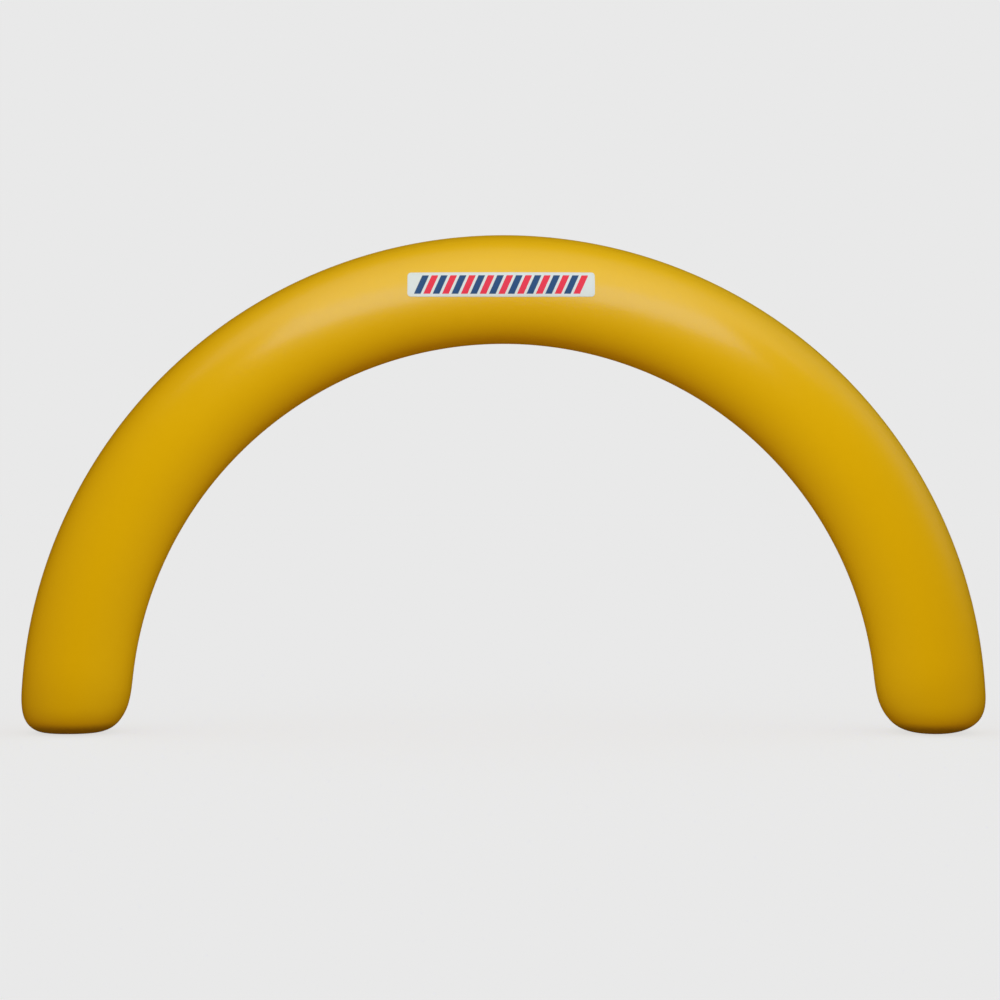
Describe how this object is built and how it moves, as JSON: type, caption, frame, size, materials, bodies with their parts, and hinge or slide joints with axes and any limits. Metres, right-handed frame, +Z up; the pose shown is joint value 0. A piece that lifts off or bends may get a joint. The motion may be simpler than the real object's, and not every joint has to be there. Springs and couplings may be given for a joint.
{
  "type": "inflatable arch",
  "caption": "Half-ring arch of air-filled yellow cloth tube standing on rounded, flat-soled feet, with a thin striped cloth panel on the front of its crown.",
  "frame": {"origin": "on the ground, midway between the outsides of the two legs and midway through the tube's depth", "axes": "+X along the span, from the left leg to the right one seen from the front; -Y is the front, the side with the panel; +Z up"},
  "size_m": [6.0922, 0.6883, 3.146],
  "materials": {
    "tube_cloth": "satin coated cloth, golden yellow",
    "panel_cloth": "satin coated cloth, white with printed blue and red bars"
  },
  "bodies": {
    "root": {"arch_tube": "tube_cloth", "front_panel": "panel_cloth"}
  },
  "joints": []
}
